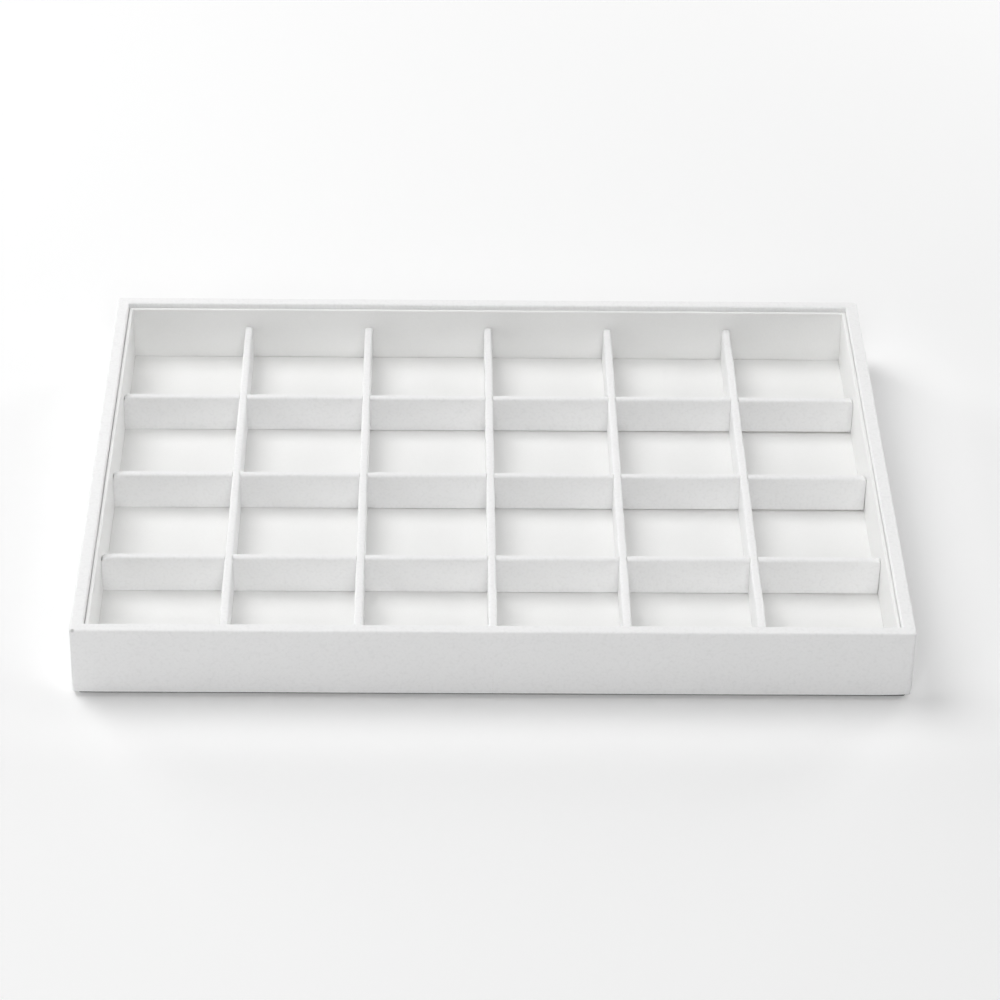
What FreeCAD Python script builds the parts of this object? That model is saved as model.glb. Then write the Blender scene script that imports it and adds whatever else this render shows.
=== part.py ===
"""White jewelry tray with a lift-out insert and a loose lattice of dividers.

The tray is four mitred rails on a base board, wrapped in one band of leatherette. A thin-walled insert drops
into it, and a lattice of half-lapped dividers stands in the insert and parts it into compartments.

Millimetres. The origin is on the table under the middle of the tray, +X to the right, +Y to the back, +Z up.
"""
import FreeCAD
import Part
import os

# The whole tray, over its leatherette and its lining
tray_width = 350.0
tray_depth = 270.0
tray_height = 33.0
columns = 6
rows = 4

# Rails, and the base board that is let into them from below
rail_thickness = 4.0
base_thickness = 2.2
base_rebate = 1.6

# Leatherette round the rails: its drop is how far it comes down inside the rim
wrap_thickness = 0.8
wrap_drop = 15.0
wrap_seam = 0.1
corner_round = 1.6
rim_round = 0.9
hollow_corner_round = 0.5

# Felt under the base
lining_thickness = 1.6
lining_inset = 2.0

# Insert: a floor board and four thin walls, each wall under a folded cover
insert_clearance = 0.15
insert_below_rim = 2.8
insert_floor_thickness = 1.0
floor_cover_thickness = 0.3
floor_cover_clearance = 0.1
liner_board_thickness = 1.2
liner_cover_thickness = 0.25
liner_cover_drop = 8.0
liner_round = 0.5

# Dividers: a board under a folded cover, which stops short of the floor by its hem
divider_board_thickness = 2.0
divider_cover_thickness = 0.8
divider_below_rim = 10.5
divider_round = 1.2
divider_end_round = 2.0
divider_end_clearance = 0.35
divider_hem = 0.3
slot_clearance = 0.1
slot_height_share = 0.5

# Cuts run past what they cut by the overrun, and edges are told apart to within the tolerance
overrun = 5.0
tolerance = 0.001

# Where the middle of a quarter circle lies, from the square corner towards its centre
quarter_crown_share = 1 - 0.5 ** 0.5

# Heights, from the table up
rail_bottom = lining_thickness + wrap_thickness
rail_top = tray_height - wrap_thickness
base_top = lining_thickness + base_thickness
insert_floor_top = base_top + insert_floor_thickness
floor_top = insert_floor_top + floor_cover_thickness
liner_top = tray_height - insert_below_rim
divider_top = tray_height - divider_below_rim
slot_level = floor_top + slot_height_share * (divider_top - floor_top)

# Distances in from the outside of the tray
rail_inner = wrap_thickness + rail_thickness
rim_width = rail_inner + wrap_thickness
rail_corner_round = max(corner_round - wrap_thickness, 0)
liner_outer = rim_width + insert_clearance
liner_board_outer = liner_outer + liner_cover_thickness
liner_board_inner = liner_board_outer + liner_board_thickness
liner_inner = liner_board_inner + liner_cover_thickness

# The space inside the insert, and how the dividers share it
inside_width = tray_width - 2 * liner_inner
inside_depth = tray_depth - 2 * liner_inner
divider_thickness = divider_board_thickness + 2 * divider_cover_thickness
slot_width = divider_thickness + 2 * slot_clearance
column_pitch = (inside_width + divider_thickness) / columns
row_pitch = (inside_depth + divider_thickness) / rows
column_places = [(number - columns / 2) * column_pitch for number in range(1, columns)]
row_places = [(number - rows / 2) * row_pitch for number in range(1, rows)]

CENTRE = FreeCAD.Vector(0, 0, 0)
RIGHT = FreeCAD.Vector(1, 0, 0)
BACK = FreeCAD.Vector(0, 1, 0)
UP = FreeCAD.Vector(0, 0, 1)
QUARTER_TURN = 90


def outline(points, rounds):
    """A flat face through points, in order, where rounds gives the radius of each square corner to round."""
    corners = []
    for number, corner in enumerate(points):
        radius = rounds.get(number, 0)
        back = (points[number - 1] - corner).normalize() * radius
        ahead = (points[(number + 1) % len(points)] - corner).normalize() * radius
        crown = corner + (back + ahead) * quarter_crown_share
        corners.append((corner + back, crown, corner + ahead))
    edges = []
    for number, (start, crown, end) in enumerate(corners):
        if number in rounds:
            edges.append(Part.Arc(start, crown, end).toShape())
        edges.append(Part.makeLine(end, corners[(number + 1) % len(corners)][0]))
    return Part.Face(Part.Wire(edges))


def slab(inset, bottom, top, radius=0):
    """A flat block on the tray's outline, drawn in by inset, with its upright corners rounded."""
    half_width = tray_width / 2 - inset
    half_depth = tray_depth / 2 - inset
    signs = ((-1, -1), (1, -1), (1, 1), (-1, 1))
    points = [FreeCAD.Vector(x * half_width, y * half_depth, bottom) for x, y in signs]
    rounds = dict.fromkeys(range(len(points)), radius) if radius else {}
    return outline(points, rounds).extrude(UP * (top - bottom))


def flat_edges(shape, height, inset):
    """The level edges of shape at a height, on or inside the tray's outline drawn in by inset."""
    found = []
    for edge in shape.Edges:
        box = edge.BoundBox
        level = box.ZLength < tolerance and abs(box.ZMin - height) < tolerance
        within = box.XMax < tray_width / 2 - inset + tolerance and box.YMax < tray_depth / 2 - inset + tolerance
        if level and within:
            found.append(edge)
    return found


def mitred_sides(section, rounds):
    """The strips that carry one section round the four sides of the tray, mitred where they meet.

    The section's corners are given as distance in from the outside of the tray, and height.
    """
    strips = {}
    for turn, side in enumerate(("front", "right", "back", "left")):
        run, across = (tray_depth, tray_width) if turn % 2 else (tray_width, tray_depth)
        corners = [FreeCAD.Vector(-run / 2, inward - across / 2, height) for inward, height in section]
        strip = outline(corners, rounds).extrude(RIGHT * run)
        mitre = liner_inner + overrun
        plan = [
            FreeCAD.Vector(-run / 2, -across / 2, 0),
            FreeCAD.Vector(run / 2, -across / 2, 0),
            FreeCAD.Vector(run / 2 - mitre, mitre - across / 2, 0),
            FreeCAD.Vector(mitre - run / 2, mitre - across / 2, 0),
        ]
        strip = strip.common(outline(plan, {}).extrude(UP * tray_height))
        strips[side] = strip.rotated(CENTRE, UP, QUARTER_TURN * turn)
    return strips


def standing_side(length, thickness, bottom, top, radius):
    """A strip on edge along X, with the two top corners of its long side rounded."""
    ends = ((-1, bottom), (1, bottom), (1, top), (-1, top))
    points = [FreeCAD.Vector(sign * length / 2, -thickness / 2, height) for sign, height in ends]
    return outline(points, {2: radius, 3: radius}).extrude(BACK * thickness)


def divider(length, slot_places, slot_bottom, slot_top):
    """A board and its folded cover, standing along X, with a slot at each place for the divider it crosses."""
    cover_bottom = floor_top + divider_hem
    board = standing_side(
        length - 2 * divider_cover_thickness,
        divider_board_thickness,
        floor_top,
        divider_top - divider_cover_thickness,
        divider_end_round - divider_cover_thickness,
    )
    sides = ((-1, cover_bottom), (1, cover_bottom), (1, divider_top), (-1, divider_top))
    fold = [FreeCAD.Vector(-length / 2, sign * divider_thickness / 2, height) for sign, height in sides]
    cover = outline(fold, {2: divider_round, 3: divider_round}).extrude(RIGHT * length)
    cover = cover.common(standing_side(length, divider_thickness, cover_bottom, divider_top, divider_end_round))
    cover = cover.cut(board)
    for place in slot_places:
        corner = FreeCAD.Vector(place - slot_width / 2, -slot_width / 2, slot_bottom)
        slot = Part.makeBox(slot_width, slot_width, slot_top - slot_bottom, corner)
        board = board.cut(slot)
        cover = cover.cut(slot)
    return board, cover


def make_wrap(rails, base):
    """One band of leatherette: up the outside, over the rim and down inside, turned under to the base board."""
    band = slab(0, lining_thickness, tray_height, corner_round)
    band = band.makeFillet(rim_round, flat_edges(band, tray_height, 0) + flat_edges(band, lining_thickness, 0))
    band = band.cut(slab(rim_width, 0, tray_height + overrun, hollow_corner_round))
    band = band.makeFillet(rim_round, flat_edges(band, tray_height, rim_width))
    band = band.cut(slab(rail_inner, 0, tray_height - wrap_drop))
    for piece in (*rails, base):
        band = band.cut(piece)
    seam_corner = FreeCAD.Vector(-wrap_seam / 2, -tray_depth / 2 - overrun, 0)
    return band.cut(Part.makeBox(wrap_seam, rim_width + 2 * overrun, tray_height, seam_corner))


# Outer tray: the rails have a rebate below, which the base board fills, and are rounded off at the outer corners
rail_section = (
    (wrap_thickness, rail_bottom),
    (rail_inner - base_rebate, rail_bottom),
    (rail_inner - base_rebate, base_top),
    (rail_inner, base_top),
    (rail_inner, rail_top),
    (wrap_thickness, rail_top),
)
rounded_frame = slab(wrap_thickness, rail_bottom, rail_top, rail_corner_round)
pieces = {f"{side}_rail": strip.common(rounded_frame) for side, strip in mitred_sides(rail_section, {}).items()}
base = slab(rail_inner - base_rebate, lining_thickness, base_top)
pieces["outer_wrap"] = make_wrap(list(pieces.values()), base)
pieces["base_board"] = base
pieces["underside_lining"] = slab(lining_inset, 0, lining_thickness, corner_round)

# Insert: the walls stand on the floor board, round the cover that is laid on it
pieces["insert_floor_board"] = slab(liner_outer, base_top, insert_floor_top)
pieces["insert_floor_cover"] = slab(liner_inner + floor_cover_clearance, insert_floor_top, floor_top)
liner_board_top = liner_top - liner_cover_thickness
liner_board_section = (
    (liner_board_outer, insert_floor_top),
    (liner_board_inner, insert_floor_top),
    (liner_board_inner, liner_board_top),
    (liner_board_outer, liner_board_top),
)
liner_cover_section = (
    (liner_outer, liner_top - liner_cover_drop),
    (liner_board_outer, liner_top - liner_cover_drop),
    (liner_board_outer, liner_board_top),
    (liner_board_inner, liner_board_top),
    (liner_board_inner, insert_floor_top),
    (liner_inner, insert_floor_top),
    (liner_inner, liner_top),
    (liner_outer, liner_top),
)
for side, strip in mitred_sides(liner_board_section, {}).items():
    pieces[f"{side}_liner_board"] = strip
for side, strip in mitred_sides(liner_cover_section, {6: liner_round, 7: liner_round}).items():
    pieces[f"{side}_liner_cover"] = strip

# Lattice: row dividers are slotted from above, and column dividers from below
row_length = inside_width - 2 * divider_end_clearance
column_length = inside_depth - 2 * divider_end_clearance
row_divider = divider(row_length, column_places, slot_level, divider_top + overrun)
column_divider = divider(column_length, row_places, 0, slot_level)
for number, place in enumerate(row_places, 1):
    for part, shape in zip(("board", "cover"), row_divider):
        pieces[f"row_divider_{part}_{number}"] = shape.translated(BACK * place)
for number, place in enumerate(column_places, 1):
    for part, shape in zip(("board", "cover"), column_divider):
        turned = shape.rotated(CENTRE, UP, QUARTER_TURN)
        pieces[f"column_divider_{part}_{number}"] = turned.translated(RIGHT * place)

os.makedirs("parts", exist_ok=True)
for node, shape in pieces.items():
    shape.exportStep(f"parts/{node}.step")
    print(node, len(shape.Solids), "solids", shape.isValid(), round(shape.Volume, 1))
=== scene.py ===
"""Looks of a white jewelry tray: leatherette and paper folded over boards, on a pale studio floor.

Metres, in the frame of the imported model: the origin is on the table under the middle of the tray,
+X to the right, +Y to the back and +Z up.
"""
import bpy
import numpy as np
from mathutils import Matrix, Vector


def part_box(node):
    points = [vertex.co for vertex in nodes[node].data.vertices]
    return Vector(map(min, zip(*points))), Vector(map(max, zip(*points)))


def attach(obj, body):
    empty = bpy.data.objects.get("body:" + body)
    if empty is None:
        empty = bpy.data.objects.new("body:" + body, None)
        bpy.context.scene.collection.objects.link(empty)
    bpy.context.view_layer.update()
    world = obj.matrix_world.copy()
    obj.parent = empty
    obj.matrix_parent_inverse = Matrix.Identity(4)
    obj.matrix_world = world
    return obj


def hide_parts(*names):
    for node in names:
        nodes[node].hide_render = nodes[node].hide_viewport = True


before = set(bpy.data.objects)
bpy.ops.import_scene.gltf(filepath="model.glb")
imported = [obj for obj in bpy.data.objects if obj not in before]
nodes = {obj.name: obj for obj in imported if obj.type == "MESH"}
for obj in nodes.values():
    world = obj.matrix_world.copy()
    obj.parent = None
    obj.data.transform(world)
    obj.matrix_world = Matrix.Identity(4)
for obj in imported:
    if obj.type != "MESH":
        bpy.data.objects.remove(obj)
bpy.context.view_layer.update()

# Rails
# Four strips of medium-density fibreboard, sawn, mitred and glued into a frame. The wrap hides them,
# except for the lower half of their inner faces, which shows when the insert is lifted out.
mm = 0.001


def linear(hex_colour):
    """An sRGB hex colour as linear red, green, blue and alpha."""
    srgb = np.array([int(hex_colour[i:i + 2], 16) for i in (0, 2, 4)]) / 255
    return (*np.where(srgb <= 0.04045, srgb / 12.92, ((srgb + 0.055) / 1.055) ** 2.4), 1)


def add(tree, kind, values, **settings):
    """Add one shader node: settings are its own options, and values its inputs.

    A value is a number, a colour or the socket of another node.
    """
    node = tree.nodes.new("ShaderNode" + kind)
    for name, setting in settings.items():
        setattr(node, name, setting)
    for name, value in values.items():
        if isinstance(value, bpy.types.NodeSocket):
            tree.links.new(value, node.inputs[name])
        else:
            node.inputs[name].default_value = value
    return node


# A Mix node of colours goes by number: the second colour's share, the two colours, and its output
SHARE, FIRST, SECOND, MIXED = 0, 6, 7, 2


def new_material(name):
    """An empty material, with its node tree and the coordinates of the object it is on, in metres."""
    material = bpy.data.materials.new(name)
    material.use_nodes = True
    tree = material.node_tree
    tree.nodes.clear()
    place = add(tree, "TexCoord", {}).outputs["Object"]
    return material, tree, place


def dress(names, material):
    """Give CAD nodes a material in place of their plain one."""
    for name in names:
        nodes[name].data.materials.clear()
        nodes[name].data.materials.append(material)


def sawn_fibreboard():
    """Fibreboard, sawn: tan wood fibres pressed in resin, so matt, flecked and left fuzzy by the saw."""
    fibre = 0.35 * mm
    cloud = 9 * mm
    material, tree, place = new_material("sawn_fibreboard")
    fibres = add(tree, "TexNoise", {"Vector": place, "Scale": 1 / fibre, "Detail": 4, "Roughness": 0.7})
    clouds = add(tree, "TexNoise", {"Vector": place, "Scale": 1 / cloud, "Detail": 2})
    tone = add(tree, "Mix", {
        SHARE: clouds.outputs["Fac"], FIRST: linear("A27F57"), SECOND: linear("B79469")}, data_type="RGBA")
    fleck = add(tree, "MapRange", {"Value": fibres.outputs["Fac"], "From Min": 0.35, "From Max": 0.7})
    colour = add(tree, "Mix", {
        SHARE: fleck.outputs[0], FIRST: linear("8A6A46"), SECOND: tone.outputs[MIXED]}, data_type="RGBA")
    fuzz = add(tree, "Bump", {"Height": fibres.outputs["Fac"], "Distance": 0.1 * mm, "Strength": 0.5})
    surface = add(tree, "BsdfPrincipled", {
        "Base Color": colour.outputs[MIXED], "Roughness": 0.85, "IOR": 1.5, "Normal": fuzz.outputs[0]})
    add(tree, "OutputMaterial", {"Surface": surface.outputs[0]})
    return material


sides = ("front", "right", "back", "left")
dress([f"{side}_rail" for side in sides], sawn_fibreboard())

# Boards
# Base, insert floor, insert walls and divider cores, all die-cut from greyboard and glued or slotted
# together. Greyboard is pressed waste paper, so it is grey-brown, flecked and soft at its cut edges.


def pressed_greyboard():
    """Greyboard: pulp of mixed waste paper, so dull, a little furry, and with pale and dark flecks."""
    pulp = 2.5 * mm
    fleck = 0.6 * mm
    fibre = 0.2 * mm
    material, tree, place = new_material("pressed_greyboard")
    pulps = add(tree, "TexNoise", {"Vector": place, "Scale": 1 / pulp, "Detail": 5, "Roughness": 0.65})
    flecks = add(tree, "TexVoronoi", {"Vector": place, "Scale": 1 / fleck, "Randomness": 1})
    fibres = add(tree, "TexNoise", {"Vector": place, "Scale": 1 / fibre, "Detail": 2})
    tone = add(tree, "Mix", {
        SHARE: pulps.outputs["Fac"], FIRST: linear("8F887D"), SECOND: linear("B3ACA0")}, data_type="RGBA")
    grey = add(tree, "SeparateColor", {"Color": flecks.outputs["Color"]})
    dark = add(tree, "MapRange", {
        "Value": grey.outputs["Red"], "From Min": 0.92, "From Max": 1, "To Max": 0.35})
    pale = add(tree, "MapRange", {
        "Value": grey.outputs["Green"], "From Min": 0.9, "From Max": 1, "To Max": 0.3})
    specked = add(tree, "Mix", {
        SHARE: dark.outputs[0], FIRST: tone.outputs[MIXED], SECOND: linear("56514A")}, data_type="RGBA")
    colour = add(tree, "Mix", {
        SHARE: pale.outputs[0], FIRST: specked.outputs[MIXED], SECOND: linear("D6D1C6")}, data_type="RGBA")
    fur = add(tree, "Bump", {"Height": fibres.outputs["Fac"], "Distance": 0.05 * mm, "Strength": 0.6})
    surface = add(tree, "BsdfPrincipled", {
        "Base Color": colour.outputs[MIXED], "Roughness": 0.9, "IOR": 1.5, "Normal": fur.outputs[0]})
    add(tree, "OutputMaterial", {"Surface": surface.outputs[0]})
    return material


dress([name for name in nodes if "_board" in name], pressed_greyboard())

# Outer wrap
# One band of white leatherette, glued up the outside of the rails, over the rim and down inside, and
# turned under. It is cut and folded at the rim's corners, and its two ends butt in the middle of the front.


def white_leatherette(pinhole_shade_spot):
    """White polyurethane leatherette: a matt skin, embossed with a fine pebble grain and soft at its folds.

    In a small spot at one corner the skin is painted grey, as painted shade standing in for a pinhole.
    """
    pebble = 1.1 * mm
    pore = 0.3 * mm
    hide = 60 * mm
    pinhole_shade_radius = 1.3 * mm
    material, tree, place = new_material("white_leatherette")
    clouds = add(tree, "TexNoise", {"Vector": place, "Scale": 1 / hide, "Detail": 2})
    pebbles = add(tree, "TexVoronoi", {"Vector": place, "Scale": 1 / pebble}, feature="SMOOTH_F1")
    pores = add(tree, "TexNoise", {"Vector": place, "Scale": 1 / pore, "Detail": 2})
    tone = add(tree, "Mix", {
        SHARE: clouds.outputs["Fac"], FIRST: linear("F3F3F3"), SECOND: linear("F8F8F8")}, data_type="RGBA")
    # Painted shade: the hollows between the pebbles are drawn greyer
    painted_valley_shade = add(tree, "MapRange", {
        "Value": pebbles.outputs["Distance"], "From Min": 0.4, "From Max": 0.8, "To Max": 0.3})
    skin = add(tree, "Mix", {
        SHARE: painted_valley_shade.outputs[0], FIRST: tone.outputs[MIXED], SECOND: linear("E4E4E4")}, data_type="RGBA")
    from_pinhole_shade = add(tree, "VectorMath", {0: place, 1: pinhole_shade_spot}, operation="DISTANCE")
    pinhole_shade = add(tree, "MapRange", {
        "Value": from_pinhole_shade.outputs["Value"], "From Min": pinhole_shade_radius, "From Max": 0.2 * pinhole_shade_radius, "To Max": 0.6},
        interpolation_type="SMOOTHSTEP")
    # Painted shade: a small grey spot stands for the shade inside a pinhole at the corner
    colour = add(tree, "Mix", {
        SHARE: pinhole_shade.outputs[0], FIRST: skin.outputs[MIXED], SECOND: linear("8A8885")}, data_type="RGBA")
    sheen = add(tree, "MapRange", {"Value": pores.outputs["Fac"], "To Min": 0.48, "To Max": 0.62})
    grain = add(tree, "Bump", {
        "Height": pebbles.outputs["Distance"], "Distance": 0.12 * mm, "Strength": 0.8}, invert=True)
    fine = add(tree, "Bump", {
        "Height": pores.outputs["Fac"], "Distance": 0.02 * mm, "Strength": 0.4, "Normal": grain.outputs[0]})
    surface = add(tree, "BsdfPrincipled", {
        "Base Color": colour.outputs[MIXED], "Roughness": sheen.outputs[0], "IOR": 1.5,
        "Normal": fine.outputs[0]})
    add(tree, "OutputMaterial", {"Surface": surface.outputs[0]})
    return material


def arc(across, up, radius, start, end, steps):
    """Points of a circle about (across, up), from one angle to another in degrees, as two arrays."""
    angle = np.radians(np.linspace(start, end, steps))
    return across + radius * np.cos(angle), up + radius * np.sin(angle)


# Points nearer to one another than this are taken as one
weld = 1e-7


def joined(*runs):
    """Runs of points, each a pair of arrays, put end to end without their doubled ends."""
    across = np.concatenate([np.atleast_1d(run[0]) for run in runs])
    up = np.concatenate([np.atleast_1d(run[1]) for run in runs])
    fresh = np.append(True, np.hypot(np.diff(across), np.diff(up)) > weld)
    return across[fresh], up[fresh]


def straight(start, end, steps):
    """Points evenly along a line between two (across, up) points, as two arrays."""
    return np.linspace(start[0], end[0], steps), np.linspace(start[1], end[1], steps)


def grid_faces(rows, columns):
    """The four-sided faces of a grid of points that is numbered row by row."""
    number = np.arange(rows * columns).reshape(rows, columns)
    corners = number[:-1, :-1], number[1:, :-1], number[1:, 1:], number[:-1, 1:]
    return np.stack([corner.ravel() for corner in corners], axis=1)


def thickened(points, faces, thickness):
    """The inner points of a sheet, and all its faces, from its outer points and faces.

    Each inner point lies one thickness under its outer one, square to the faces that meet there. The inner
    faces are the outer ones turned over, and a wall joins the two sides wherever an edge has only one face.
    """
    first, second, third, fourth = np.moveaxis(points[faces], 1, 0)
    facing = np.cross(third - first, fourth - second)
    normal = np.zeros_like(points)
    np.add.at(normal, faces, facing[:, None])
    normal /= np.linalg.norm(normal, axis=1, keepdims=True)
    edges = np.stack([faces, np.roll(faces, -1, axis=1)], axis=-1).reshape(-1, 2)
    _, number, count = np.unique(np.sort(edges, axis=1), axis=0, return_inverse=True, return_counts=True)
    start, end = edges[count[number.ravel()] == 1].T
    walls = np.stack([end, start, start + len(points), end + len(points)], axis=1)
    return points - thickness * normal, np.concatenate([faces, faces[:, ::-1] + len(points), walls])


def sheet_piece(name, points, faces, thickness, material, body, laid=None):
    """A skin from the points and faces of its outer side: welded, thickened inwards, and set on its body.

    Where laid is given, it holds the places that the outer points go to once the sheet has its thickness.
    """
    sharp_fold = 40
    _, first, number = np.unique(np.round(points / weld), axis=0, return_index=True, return_inverse=True)
    used, faces = np.unique(number.ravel()[faces], return_inverse=True)
    inner, all_faces = thickened(points[first][used], faces.reshape(-1, 4), thickness)
    outer = (points if laid is None else laid)[first][used]
    mesh = bpy.data.meshes.new(name)
    mesh.from_pydata(np.concatenate([outer, inner]).tolist(), [], all_faces.tolist())
    mesh.polygons.foreach_set("use_smooth", np.ones(len(mesh.polygons), bool))
    mesh.set_sharp_from_angle(angle=np.radians(sharp_fold))
    mesh.materials.append(material)
    piece = bpy.data.objects.new(name, mesh)
    bpy.context.scene.collection.objects.link(piece)
    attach(piece, body)
    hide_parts(name.replace("_skin", ""))


def ripple(along, wavelength, height, seed):
    """A gentle unevenness along a length: three sines of unlike wavelengths, with phases from the seed."""
    phase = np.random.default_rng(seed).uniform(0, 2 * np.pi, 3)
    stretch = np.array([1, 0.43, 0.19])
    share = np.array([0.6, 0.3, 0.1])
    waves = np.sin(2 * np.pi * np.asarray(along)[..., None] / (wavelength * stretch) + phase)
    return height * (waves * share).sum(-1)


def wrap_grid(half, rim, profile, corner_round, hollow_round, seam):
    """The wrap's outer side: its section carried round the tray from the seam back to the seam.

    A section point that lies in from the outside by some distance goes round a rectangle drawn in by that
    distance. The rectangle's corner radius falls evenly from corner_round at the outside to hollow_round at
    the inside. Each corner's bend stands for the ends of the two sides that meet there.
    """
    corner_steps = 15
    side_steps = 81
    inward, height = profile
    radius = corner_round + (hollow_round - corner_round) * inward / rim
    turn = np.linspace(0, 90, corner_steps)
    whole = np.linspace(-1, 1, side_steps)[1:-1]
    front_right = np.linspace(seam / (2 * half[0]), 1, side_steps // 2 + 1)[:-1]
    runs = []
    for number, side in enumerate((front_right, whole, whole, whole, -front_right[::-1])):
        facing = np.radians(90 * number - 90)
        out = np.array([np.cos(facing), np.sin(facing)])
        way = np.array([-out[1], out[0]])
        runs.append(np.column_stack([side[:, None] * way + out, np.broadcast_to(out, (len(side), 2))]))
        if number < 4:
            bend = facing + np.radians(turn)
            corner = np.broadcast_to(out + way, (len(turn), 2))
            runs.append(np.column_stack([corner, np.cos(bend), np.sin(bend)]))
    a, b, toward_x, toward_y = np.concatenate(runs).T[:, :, None]
    x = a * (half[0] - inward - radius) + toward_x * radius
    y = b * (half[1] - inward - radius) + toward_y * radius
    z = np.broadcast_to(height, x.shape)
    return np.stack([x, y, z], axis=-1), (a * b, toward_x, toward_y)


def hand_laid(points, stations, low, high, rim_round, corner_round):
    """The wrap as it lies when it is glued on by hand, from its even grid.

    Between the corners its faces wander a little in and out, and up and down. Along each mitre of the rim a
    crease sinks in, as deep as a bell curve of the distance round the corner. Each lower corner is pulled
    in, the front right one most, and the seam gapes, both dying away with the height and the distance.
    """
    wander_depth = 0.06 * mm
    lift_height = 0.04 * mm
    crease_depth = 0.08 * mm
    crease_width = 0.2 * mm
    pull = 0.15 * mm
    front_right_pull = 0.7 * mm
    pull_height = 1.5 * mm
    gape = 0.03 * mm
    fade_length = 5 * mm
    along, toward_x, toward_y = stations
    x, y, z = np.moveaxis(points, -1, 0)
    rise = (z - low) / (high - low)
    slack = 1 - along ** 8
    wander = slack * ripple(x - y, 130 * mm, wander_depth, 1)
    lift = slack * rise * ripple(x - y, 90 * mm, lift_height, 2)
    skew = np.abs(np.arctan2(np.abs(toward_y), np.abs(toward_x)) - np.pi / 4)
    on_rim = np.clip((z - high) / rim_round + 1, 0, 1)
    crease = crease_depth * on_rim * np.exp(-(skew * corner_round / crease_width) ** 2)
    from_corner = (1 - np.abs(along)) * np.abs(x).max()
    near_corner = np.exp(-from_corner / fade_length - (z - low) / pull_height)
    pulled_in = np.where((x > 0) & (y < 0), front_right_pull, pull) * near_corner
    near_seam = np.where(y < 0, np.exp(-np.abs(x) / fade_length), 0) * (1 - rise) ** 3
    ajar = gape * np.sign(x) * near_seam
    out = wander - pulled_in
    return np.stack([x + toward_x * out + ajar, y + toward_y * out, z + lift - crease], axis=-1)


wrap_low, wrap_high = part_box("outer_wrap")
rail_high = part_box("front_rail")[1]
wrap_thickness = wrap_high.z - rail_high.z
rim_width = rail_high.y - wrap_low.y + wrap_thickness
turned_under = 3.2 * mm
wrap_drop = 15 * mm
rim_round = 0.9 * mm
foot_round = 0.4 * mm
wrap_section = joined(
    straight((turned_under, wrap_low.z), (foot_round, wrap_low.z), 4),
    arc(foot_round, wrap_low.z + foot_round, foot_round, 270, 180, 7),
    straight((0, wrap_low.z + foot_round), (0, wrap_high.z - rim_round), 18),
    arc(rim_round, wrap_high.z - rim_round, rim_round, 180, 90, 9),
    straight((rim_round, wrap_high.z), (rim_width - rim_round, wrap_high.z), 10),
    arc(rim_width - rim_round, wrap_high.z - rim_round, rim_round, 90, 0, 9),
    straight((rim_width, wrap_high.z - rim_round), (rim_width, wrap_high.z - wrap_drop), 10),
)
corner_round = 1.6 * mm
hollow_round = 0.5 * mm
seam = 0.01 * mm
wrap_even, wrap_stations = wrap_grid(
    (wrap_high.x, wrap_high.y), rim_width, wrap_section, corner_round, hollow_round, seam)
wrap_laid = hand_laid(wrap_even, wrap_stations, wrap_low.z, wrap_high.z, rim_round, corner_round)
# Where the grey spot of painted shade for a pinhole sits, by the rim's front left corner
pinhole_shade_spot = wrap_low.x + 1.3 * mm, wrap_low.y + 0.4 * mm, wrap_high.z - 0.1 * mm
leatherette = white_leatherette(pinhole_shade_spot)
sheet_piece(
    "outer_wrap_skin", wrap_even.reshape(-1, 3), grid_faces(*wrap_even.shape[:2]), wrap_thickness,
    leatherette, "tray", wrap_laid.reshape(-1, 3))

# Underside lining
# A sheet of grey felt, pressed from short fibres and glued under the base, over the turned-under edge of
# the wrap. The tray stands on it.


def pressed_felt():
    """Pressed polyester felt: short fibres lying every way, so a soft, matt, mottled and hairy surface.

    The fibres are drawn several times too thick, because real ones are too fine to show.
    """
    tuft = 4 * mm
    hair = 0.9 * mm
    material, tree, place = new_material("pressed_felt")
    tufts = add(tree, "TexNoise", {"Vector": place, "Scale": 1 / tuft, "Detail": 3, "Distortion": 1.5})
    hairs = add(tree, "TexNoise", {"Vector": place, "Scale": 1 / hair, "Detail": 3, "Distortion": 2})
    mottle = add(tree, "MapRange", {"Value": tufts.outputs["Fac"], "From Min": 0.3, "From Max": 0.7})
    # The felt's colour is a guess, taken dark partly as painted shade, so that the line of shade under the
    # tray's edge shows darker
    tone = add(tree, "Mix", {
        SHARE: mottle.outputs[0], FIRST: linear("474543"), SECOND: linear("6B6965")}, data_type="RGBA")
    # Painted shade: the low spots between the hairs are drawn near black
    painted_pit_shade = add(tree, "MapRange", {"Value": hairs.outputs["Fac"], "From Min": 0.3, "From Max": 0.6})
    colour = add(tree, "Mix", {
        SHARE: painted_pit_shade.outputs[0], FIRST: linear("2C2B2A"), SECOND: tone.outputs[MIXED]}, data_type="RGBA")
    nap = add(tree, "Bump", {"Height": hairs.outputs["Fac"], "Distance": 0.4 * mm, "Strength": 0.8})
    surface = add(tree, "BsdfPrincipled", {
        "Base Color": colour.outputs[MIXED], "Roughness": 0.95, "IOR": 1.5, "Sheen Weight": 0.25,
        "Sheen Roughness": 0.6, "Normal": nap.outputs[0]})
    add(tree, "OutputMaterial", {"Surface": surface.outputs[0]})
    return material


dress(["underside_lining"], pressed_felt())

# Insert floor and wall covers
# White leatherette paper, thinner than the wrap. One sheet lies on the insert's floor. A strip is folded
# over the top of each wall and glued down both faces, and the strips meet in mitres at the corners.


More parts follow.
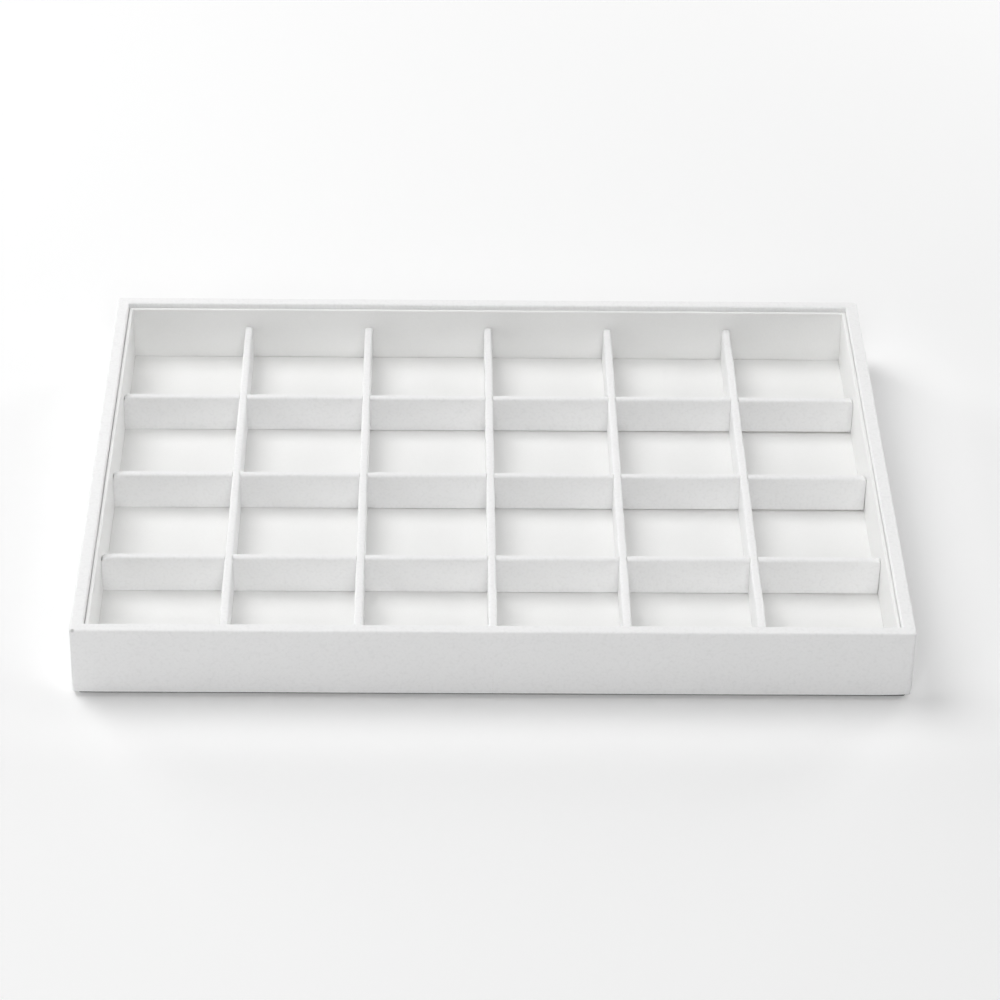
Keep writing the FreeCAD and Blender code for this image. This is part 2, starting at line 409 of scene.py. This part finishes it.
def leatherette_paper():
    """White coated paper, embossed finer than the wrap: smooth, matt, with a faint sand grain."""
    sand = 0.8 * mm
    sheet = 45 * mm
    material, tree, place = new_material("leatherette_paper")
    clouds = add(tree, "TexNoise", {"Vector": place, "Scale": 1 / sheet, "Detail": 3})
    grains = add(tree, "TexNoise", {"Vector": place, "Scale": 1 / sand, "Detail": 3, "Roughness": 0.6})
    tone = add(tree, "Mix", {
        SHARE: clouds.outputs["Fac"], FIRST: linear("F3F3F2"), SECOND: linear("F8F8F7")}, data_type="RGBA")
    # Painted shade: the low spots of the sand grain are drawn greyer
    painted_dip_shade = add(tree, "MapRange", {
        "Value": grains.outputs["Fac"], "From Min": 0.6, "From Max": 0.35, "To Max": 0.1})
    colour = add(tree, "Mix", {
        SHARE: painted_dip_shade.outputs[0], FIRST: tone.outputs[MIXED], SECOND: linear("E4E4E3")}, data_type="RGBA")
    sheen = add(tree, "MapRange", {"Value": grains.outputs["Fac"], "To Min": 0.55, "To Max": 0.68})
    grain = add(tree, "Bump", {"Height": grains.outputs["Fac"], "Distance": 0.06 * mm, "Strength": 0.7})
    surface = add(tree, "BsdfPrincipled", {
        "Base Color": colour.outputs[MIXED], "Roughness": sheen.outputs[0], "IOR": 1.5,
        "Normal": grain.outputs[0]})
    add(tree, "OutputMaterial", {"Surface": surface.outputs[0]})
    return material


def side_grid(half, profile, turn, lean, foot):
    """One wall cover's outer side: its section carried along a side of the insert, from mitre to mitre.

    A section point that lies in from the outside by some distance runs shorter by that distance at each
    end. Between the mitres the wall leans: its top stands out by lean and its foot stands in by foot, and
    the heights between go evenly from one to the other. The faces and the fold wander a little. The side is
    worked out as the front one, and then turned by quarter turns about the middle.
    """
    side_steps = 61
    wander_depth = 0.03 * mm
    fold_wander = 0.05 * mm
    fold_reach = 2 * mm
    inward, height = profile
    run, across = (half[1], half[0]) if turn % 2 else half
    share = np.linspace(-1, 1, side_steps)[:, None]
    x = share * (run - inward)
    y = np.broadcast_to(inward - across, x.shape)
    z = np.broadcast_to(height, x.shape)
    slack = 1 - share ** 8
    rise = (height - height.min()) / (height.max() - height.min())
    y = y + slack * (ripple(x, 70 * mm, wander_depth, 20 + turn) + foot * (1 - rise) - lean * rise)
    z = z + slack * ripple(x, 50 * mm, fold_wander, 30 + turn) * (height > height.max() - fold_reach)
    angle = np.radians(90 * turn)
    turned_x = x * np.cos(angle) - y * np.sin(angle)
    turned_y = x * np.sin(angle) + y * np.cos(angle)
    return np.stack([turned_x, turned_y, z], axis=-1)


paper = leatherette_paper()
dress(["insert_floor_cover"], paper)
insert_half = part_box("right_liner_cover")[1].x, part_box("back_liner_cover")[1].y
cover_low, cover_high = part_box("front_liner_cover")
cover_thickness = cover_high.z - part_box("front_liner_board")[1].z
wall = cover_high.y - cover_low.y
wall_round = 0.5 * mm
cover_drop = 8 * mm
# The fold is not drawn down tight, so it stands a little above the board
slack_fold = 0.5 * mm
fold_top = cover_high.z + slack_fold
wall_section = joined(
    straight((0, fold_top - cover_drop), (0, fold_top - wall_round), 6),
    arc(wall_round, fold_top - wall_round, wall_round, 180, 90, 6),
    arc(wall - wall_round, fold_top - wall_round, wall_round, 90, 0, 6),
    straight((wall, fold_top - wall_round), (wall, cover_low.z), 14),
)
# How far each wall's top stands out, and its foot in
wall_leans = {
    "front": (0.06 * mm, 0),
    "right": (0.06 * mm, 0.08 * mm),
    "back": (0.1 * mm, -0.16 * mm),
    "left": (0, 0.08 * mm),
}
for turn, side in enumerate(sides):
    cover = side_grid(insert_half, wall_section, turn, *wall_leans[side])
    sheet_piece(
        f"{side}_liner_cover_skin", cover.reshape(-1, 3), grid_faces(*cover.shape[:2]), cover_thickness,
        paper, "insert")

# Divider covers
# White leatherette folded over the top and the ends of each divider's board and glued to both faces, down
# to a hem just above the floor. Row dividers are slotted from above, and column dividers from below.


def divider_grid(
        length, thickness, hems, top, edges, ends, slots, slot_width, slot_level, from_above, seed):
    """A divider cover's outer side, standing along X about the origin, as points and faces.

    A band, whose section is a quarter circle, a flat and a quarter circle, is carried up one end, over the
    top and down the other end, on a path with rounded corners. The quarter circles have one radius on top
    and a smaller one on each end, and go from one to the other with the square of the upward slope. Two
    flat sides fill the space inside the band, with grid lines on the edges of the slots, where faces are
    left out. The lower edge goes evenly from the left hem to the right one. Away from the slots, which hold
    it straight, the cover wanders a little.
    """
    step = 3 * mm
    slot_margin = 0.8 * mm
    slot_hold = 10 * mm
    side_wander = 0.1 * mm
    top_wander = 0.05 * mm
    top_share = 0.7
    top_edge, left_edge, right_edge = edges
    left_end, right_end = ends
    bottom = sum(hems) / 2
    cuts = np.sort(np.concatenate([slots - slot_width / 2, slots + slot_width / 2]))
    even = np.linspace(left_end - length / 2, length / 2 - right_end, int(length / step))
    even = even[np.abs(even[:, None] - cuts).min(axis=1) > slot_margin]
    run = np.sort(np.concatenate([even, cuts]))
    level = (slot_level - bottom) / (top - top_edge - bottom)
    rise = np.concatenate([np.linspace(0, level, 5), np.linspace(level, 1, 5)[1:]])
    left_climb, right_climb = (hem + rise * (top - end - hem) for hem, end in zip(hems, ends))
    bend = np.radians(np.linspace(180, 90, 7))
    same = np.ones_like
    end = np.concatenate([
        left_end * same(rise[1:]), left_end * same(bend[1:]), left_end * same(run),
        right_end * same(bend[1:]), right_end * same(rise[1:])])
    middle_x = np.concatenate([
        (left_end - length / 2) * same(rise[1:]), (left_end - length / 2) * same(bend[1:]), run,
        (length / 2 - right_end) * same(bend[1:]), (length / 2 - right_end) * same(rise[1:])])
    middle_z = top - end
    middle_z[:len(rise) - 1] = left_climb[:-1]
    middle_z[1 - len(rise):] = right_climb[-2::-1]
    out_x = np.concatenate([
        -same(rise[1:]), np.cos(bend[:-1]), 0 * run, -np.cos(bend[-2::-1]), same(rise[1:])])
    out_z = np.concatenate([
        0 * rise[1:], np.sin(bend[:-1]), same(run), np.sin(bend[-2::-1]), 0 * rise[1:]])
    end_edge = np.where(out_x < 0, left_edge, right_edge)
    edge = (end_edge + (top_edge - end_edge) * out_z ** 2)[:, None]
    unit_y, unit_out = arc(0, 0, 1, 180, 90, 6)
    half_y = edge * unit_y - (thickness / 2 - edge)
    section_y = np.concatenate([half_y, 0 * edge, -half_y[:, ::-1]], axis=1)
    section_out = np.concatenate([edge * unit_out, edge, edge * unit_out[::-1]], axis=1)
    reach = end[:, None] - edge + section_out
    band_x = middle_x[:, None] + out_x[:, None] * reach
    band_z = middle_z[:, None] + out_z[:, None] * reach
    band = np.stack([band_x, section_y, band_z], axis=-1)
    over = slice(len(rise) - 1, len(middle_x) - len(rise) + 1)
    side_x = (middle_x + out_x * (end - edge[:, 0]))[over, None]
    side_top = (middle_z + out_z * (end - edge[:, 0]))[over, None]
    from_left = ((middle_x - middle_x.min()) / np.ptp(middle_x))[over, None]
    side_bottom = hems[0] + (hems[1] - hems[0]) * from_left
    side_z = side_bottom + rise * (side_top - side_bottom)
    side_x = np.broadcast_to(side_x, side_z.shape)
    near = np.stack([side_x, np.full_like(side_x, -thickness / 2), side_z], axis=-1)
    far = near * [1, -1, 1]
    band_faces = grid_faces(*band.shape[:2])
    near_faces = grid_faces(*near.shape[:2])
    grids = [grid.reshape(-1, 3) for grid in (band, near, far)]
    points = np.concatenate(grids)
    starts = np.cumsum([0] + [len(grid) for grid in grids])
    faces = np.concatenate([band_faces, near_faces + starts[1], near_faces[:, ::-1] + starts[2]])
    centre = points[faces].mean(axis=1)
    across = np.abs(centre[:, :1] - slots).min(axis=1) < slot_width / 2
    beyond = centre[:, 2] > slot_level if from_above else centre[:, 2] < slot_level
    faces = faces[~(across & beyond)]
    height = (points[:, 2] - bottom) / (top - bottom)
    free = 1 - np.exp(-(np.abs(points[:, :1] - slots).min(axis=1) / slot_hold) ** 2)
    points[:, 1] += free * height * ripple(points[:, 0], 90 * mm, side_wander, seed)
    points[:, 2] += free * (height > top_share) * ripple(points[:, 0], 60 * mm, top_wander, seed + 50)
    return points, faces


row_boxes = [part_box(f"row_divider_cover_{number}") for number in (1, 2, 3)]
column_boxes = [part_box(f"column_divider_cover_{number}") for number in (1, 2, 3, 4, 5)]
row_places = np.array([(low.y + high.y) / 2 for low, high in row_boxes])
column_places = np.array([(low.x + high.x) / 2 for low, high in column_boxes])
divider_low, divider_high = row_boxes[0]
divider_thickness = divider_high.y - divider_low.y
divider_board_low, divider_board_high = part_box("row_divider_board_1")
divider_cover_thickness = divider_high.z - divider_board_high.z
divider_foot = divider_board_low.z
half_lap = 0.5
divider_slot_level = divider_foot + half_lap * (divider_high.z - divider_foot)
slot_play = 0.06 * mm
slot_width = divider_thickness + slot_play
# Edge radii on top, left end and right end, corner radii of the left and right end, and hems over the floor
row_edges = 1.2 * mm, 0.03 * mm, 0.13 * mm
column_edges = 1.2 * mm, 0.9 * mm, 0.9 * mm
row_end_rounds = 2.8 * mm, 2.0 * mm
column_end_rounds = 2.0 * mm, 2.0 * mm
row_hems = (0.1 * mm, 0.35 * mm), (0.05 * mm, 0.65 * mm), (0.05 * mm, 0.7 * mm)
# Near its ends a row's cover is not drawn tight and reaches past its board: how far at its foot and its top
loose_end = 20 * mm
left_reaches = 0.285 * mm, 0.335 * mm
right_reaches = (0.04 * mm, 0.34 * mm), (0.04 * mm, 0.33 * mm), (0.2 * mm, 0.33 * mm)
row_length = divider_high.x - divider_low.x
for number, (place, hems, reaches) in enumerate(zip(row_places, row_hems, right_reaches), 1):
    points, faces = divider_grid(
        row_length, divider_thickness, [divider_foot + hem for hem in hems], divider_high.z, row_edges,
        row_end_rounds, column_places, slot_width, divider_slot_level, True, 100 + number)
    near_left = np.clip(1 - (row_length / 2 + points[:, 0]) / loose_end, 0, None)
    near_right = np.clip(1 - (row_length / 2 - points[:, 0]) / loose_end, 0, None)
    height = (points[:, 2] - divider_foot) / (divider_high.z - divider_foot)
    points[:, 0] += near_right * np.interp(height, (0, 1), reaches)
    points[:, 0] -= near_left * np.interp(height, (0, 1), left_reaches)
    points[:, 1] += place
    sheet_piece(
        f"row_divider_cover_{number}_skin", points, faces, divider_cover_thickness, leatherette, "lattice")
column_hem = divider_foot + 0.1 * mm
for number, (low, high) in enumerate(column_boxes, 1):
    points, faces = divider_grid(
        high.y - low.y, divider_thickness, [column_hem, column_hem], high.z, column_edges,
        column_end_rounds, row_places, slot_width, divider_slot_level, False, 200 + number)
    points = np.stack([column_places[number - 1] - points[:, 1], points[:, 0], points[:, 2]], axis=1)
    sheet_piece(
        f"column_divider_cover_{number}_skin", points, faces, divider_cover_thickness, leatherette,
        f"column_divider_{number}")

# Floor, light and camera
# A pale seamless floor under a large soft lamp from the upper back left, with fainter ones round it. The
# floor and the backdrop beyond it are seen as white, and only the lamps light the tray.
floor_half = 3
floor_mesh = bpy.data.meshes.new("floor")
floor_points = [(x * floor_half, y * floor_half, 0) for x, y in ((-1, -1), (1, -1), (1, 1), (-1, 1))]
floor_mesh.from_pydata(floor_points, [], [(0, 1, 2, 3)])
floor = bpy.data.objects.new("floor", floor_mesh)
bpy.context.scene.collection.objects.link(floor)


def looked_at(tree):
    """1 for a ray from the camera, also by way of a shiny or clear surface, and 0 for a ray of light only."""
    path = add(tree, "LightPath", {})
    mirrored = add(tree, "Math", {
        0: path.outputs["Is Glossy Ray"], 1: path.outputs["Is Transmission Ray"]}, operation="MAXIMUM")
    seen = add(tree, "Math", {
        0: path.outputs["Is Camera Ray"], 1: mirrored.outputs[0]}, operation="MAXIMUM")
    return seen.outputs[0]


# Round the tray the floor takes its shadow, and further out it is seen to fade into the white backdrop
shadow_reach = 0.3
backdrop_reach = 0.9
pure_white = 1, 1, 1, 1
material, tree, place = new_material("studio_floor")
looked = looked_at(tree)
white = add(tree, "Mix", {
    SHARE: looked, FIRST: linear("F8F8F8"), SECOND: pure_white}, data_type="RGBA")
near_floor = add(tree, "BsdfDiffuse", {"Color": white.outputs[MIXED]})
far_floor = add(tree, "Emission", {"Color": pure_white, "Strength": 1})
from_tray = add(tree, "VectorMath", {0: place}, operation="LENGTH")
far = add(tree, "MapRange", {
    "Value": from_tray.outputs["Value"], "From Min": shadow_reach, "From Max": backdrop_reach},
    interpolation_type="SMOOTHSTEP")
fade = add(tree, "Math", {0: looked, 1: far.outputs[0]}, operation="MULTIPLY")
surface = add(tree, "MixShader", {0: fade.outputs[0], 1: near_floor.outputs[0], 2: far_floor.outputs[0]})
add(tree, "OutputMaterial", {"Surface": surface.outputs[0]})
floor_mesh.materials.append(material)

world = bpy.data.worlds.new("studio")
bpy.context.scene.world = world
world.use_nodes = True
world.node_tree.nodes.clear()
backdrop = add(world.node_tree, "Background", {
    "Strength": looked_at(world.node_tree), "Color": pure_white})
add(world.node_tree, "OutputWorld", {"Surface": backdrop.outputs[0]})

# Each lamp is a soft disk that points at the tray: its place, its width and its power in watts
lamps = {
    "key_lamp": ((-0.734, 0.424, 1.357), 1.2, 14.6),
    "back_right_lamp": ((0.6, 0.6, 1.357), 0.9, 2.8),
    "right_lamp": ((1.261, 0, 0.985), 0.9, 3.6),
    "front_lamp": ((0, -1.261, 0.985), 0.9, 7.6),
    "low_front_left_lamp": ((-1.093, -1.093, 0.414), 0.7, 2.9),
    "low_back_left_lamp": ((-1.093, 1.093, 0.414), 0.7, 6.1),
    "low_back_right_lamp": ((1.093, 1.093, 0.414), 0.7, 6.1),
}
for name, (lamp_place, width, power) in lamps.items():
    lamp = bpy.data.lights.new(name, "AREA")
    lamp.shape = "DISK"
    lamp.size = width
    lamp.energy = power
    lamp_object = bpy.data.objects.new(name, lamp)
    aimed = Vector(lamp_place).to_track_quat("Z", "Y").to_matrix().to_4x4()
    lamp_object.matrix_world = Matrix.Translation(lamp_place) @ aimed
    bpy.context.scene.collection.objects.link(lamp_object)

# The camera stands where the photograph was taken from, and has its angle of view
tilt = np.radians(33.682)
roll = np.radians(-0.986)
yaw = np.radians(1.208)
camera_place = Vector((-0.024065, -1.353878, 0.911297))
focal_pixels = 3641.4
frame_pixels = 1000
forward = Vector((np.sin(yaw) * np.cos(tilt), np.cos(yaw) * np.cos(tilt), -np.sin(tilt)))
level = Vector((np.cos(yaw), -np.sin(yaw), 0))
down = forward.cross(level)
right = np.cos(roll) * level + np.sin(roll) * down
up = np.sin(roll) * level - np.cos(roll) * down
camera = bpy.data.objects.new("camera", bpy.data.cameras.new("camera"))
camera.data.sensor_width = 36
camera.data.lens = camera.data.sensor_width * focal_pixels / frame_pixels
camera.data.clip_end = 20
camera.matrix_world = Matrix.Translation(camera_place) @ Matrix((right, up, -forward)).transposed().to_4x4()
bpy.context.scene.collection.objects.link(camera)
bpy.context.scene.camera = camera
bpy.context.scene.view_settings.view_transform = "Standard"
